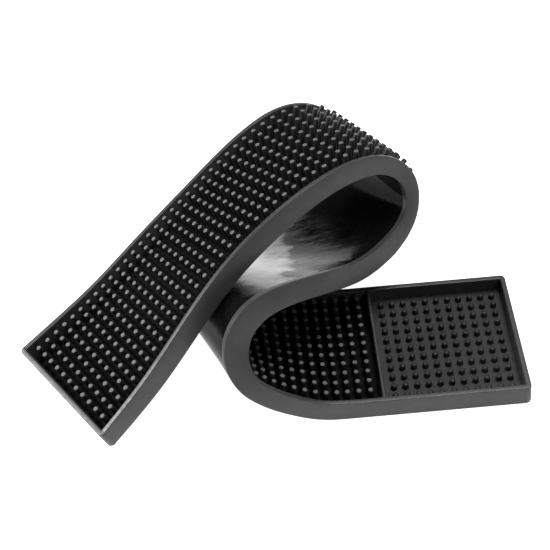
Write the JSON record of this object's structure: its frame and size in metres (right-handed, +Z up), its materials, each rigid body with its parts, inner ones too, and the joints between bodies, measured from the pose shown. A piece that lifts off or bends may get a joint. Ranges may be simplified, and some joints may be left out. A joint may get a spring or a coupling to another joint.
{
  "type": "folded rubber stud mat",
  "caption": "Narrow moulded rubber mat with a raised rim, a field of tall studs and a short-stud tray at one end, folded over itself in an S.",
  "frame": {"origin": "middle of the folded mat's plan, on the surface it lies on", "axes": "+X from the free end towards the tray end, +Y towards the far side, +Z up"},
  "size_m": [0.274, 0.1978, 0.0949],
  "materials": {
    "rim": "satin moulded black rubber",
    "stud_field": "moulded black rubber, glossy underneath, matt on top",
    "tray_floor": "satin moulded black rubber",
    "divider": "satin moulded black rubber"
  },
  "bodies": {
    "tray_run": {"tray_end_rim": "rim", "tray_floor": "tray_floor", "divider": "divider", "tray_run_studs": "stud_field", "tray_run_near_rim": "rim", "tray_run_far_rim": "rim"},
    "curl_1": {"curl_1_studs": "stud_field", "curl_1_near_rim": "rim", "curl_1_far_rim": "rim"},
    "curl_2": {"curl_2_studs": "stud_field", "curl_2_near_rim": "rim", "curl_2_far_rim": "rim"},
    "curl_3": {"curl_3_studs": "stud_field", "curl_3_near_rim": "rim", "curl_3_far_rim": "rim"},
    "curl_4": {"curl_4_studs": "stud_field", "curl_4_near_rim": "rim", "curl_4_far_rim": "rim"},
    "middle_run": {"middle_run_studs": "stud_field", "middle_run_near_rim": "rim", "middle_run_far_rim": "rim"},
    "loop_1": {"loop_1_studs": "stud_field", "loop_1_near_rim": "rim", "loop_1_far_rim": "rim"},
    "loop_2": {"loop_2_studs": "stud_field", "loop_2_near_rim": "rim", "loop_2_far_rim": "rim"},
    "loop_3": {"loop_3_studs": "stud_field", "loop_3_near_rim": "rim", "loop_3_far_rim": "rim"},
    "loop_4": {"loop_4_studs": "stud_field", "loop_4_near_rim": "rim", "loop_4_far_rim": "rim"},
    "down_run": {"free_end_rim": "rim", "down_run_studs": "stud_field", "down_run_near_rim": "rim", "down_run_far_rim": "rim"}
  },
  "joints": [
    {"name": "curl_hinge_1", "type": "hinge", "parent": "tray_run", "child": "curl_1", "pos_m": [-0.01469, -0.04411, 0.01], "axis": [0.6359, -0.7717, 0.0032], "range_deg": [0, 33.7]},
    {"name": "curl_hinge_2", "type": "hinge", "parent": "curl_1", "child": "curl_2", "pos_m": [-0.03112, -0.04405, 0.01927], "axis": [0.3956, -0.8996, 0.185], "range_deg": [0, 40.9]},
    {"name": "curl_hinge_3", "type": "hinge", "parent": "curl_2", "child": "curl_3", "pos_m": [-0.0386, -0.03905, 0.03547], "axis": [0.3423, -0.8851, 0.3152], "range_deg": [0, 48.3]},
    {"name": "curl_hinge_4", "type": "hinge", "parent": "curl_3", "child": "curl_4", "pos_m": [-0.03213, -0.02892, 0.0495], "axis": [0.3944, -0.8166, 0.4215], "range_deg": [0, 49.6]},
    {"name": "curl_hinge_5", "type": "hinge", "parent": "curl_4", "child": "middle_run", "pos_m": [-0.01647, -0.01911, 0.05186], "axis": [0.6919, -0.6079, 0.3896], "range_deg": [0, 19.3]},
    {"name": "loop_hinge_1", "type": "hinge", "parent": "middle_run", "child": "loop_1", "pos_m": [0.0526, 0.03069, 0.01809], "axis": [-0.5613, 0.7045, -0.4342], "range_deg": [0, 33.4]},
    {"name": "loop_hinge_2", "type": "hinge", "parent": "loop_1", "child": "loop_2", "pos_m": [0.06793, 0.04789, 0.02625], "axis": [-0.4516, 0.7949, -0.4052], "range_deg": [0, 45.7]},
    {"name": "loop_hinge_3", "type": "hinge", "parent": "loop_2", "child": "loop_3", "pos_m": [0.07264, 0.06171, 0.04872], "axis": [-0.4228, 0.8594, -0.2875], "range_deg": [0, 49.9]},
    {"name": "loop_hinge_4", "type": "hinge", "parent": "loop_3", "child": "loop_4", "pos_m": [0.0602, 0.06249, 0.07151], "axis": [-0.46, 0.8619, -0.2134], "range_deg": [0, 38.5]},
    {"name": "loop_hinge_5", "type": "hinge", "parent": "loop_4", "child": "down_run", "pos_m": [0.04035, 0.05342, 0.08295], "axis": [-0.3605, 0.9042, -0.2289], "range_deg": [0, 50.7]}
  ],
  "couplings": [
    {"joint": "curl_hinge_2", "follows": "curl_hinge_1", "ratio": 1.2136},
    {"joint": "curl_hinge_3", "follows": "curl_hinge_1", "ratio": 1.4332},
    {"joint": "curl_hinge_4", "follows": "curl_hinge_1", "ratio": 1.4718},
    {"joint": "curl_hinge_5", "follows": "curl_hinge_1", "ratio": 0.5727},
    {"joint": "loop_hinge_1", "follows": "curl_hinge_1", "ratio": 0.991},
    {"joint": "loop_hinge_2", "follows": "curl_hinge_1", "ratio": 1.356},
    {"joint": "loop_hinge_3", "follows": "curl_hinge_1", "ratio": 1.4807},
    {"joint": "loop_hinge_4", "follows": "curl_hinge_1", "ratio": 1.1424},
    {"joint": "loop_hinge_5", "follows": "curl_hinge_1", "ratio": 1.5044}
  ]
}
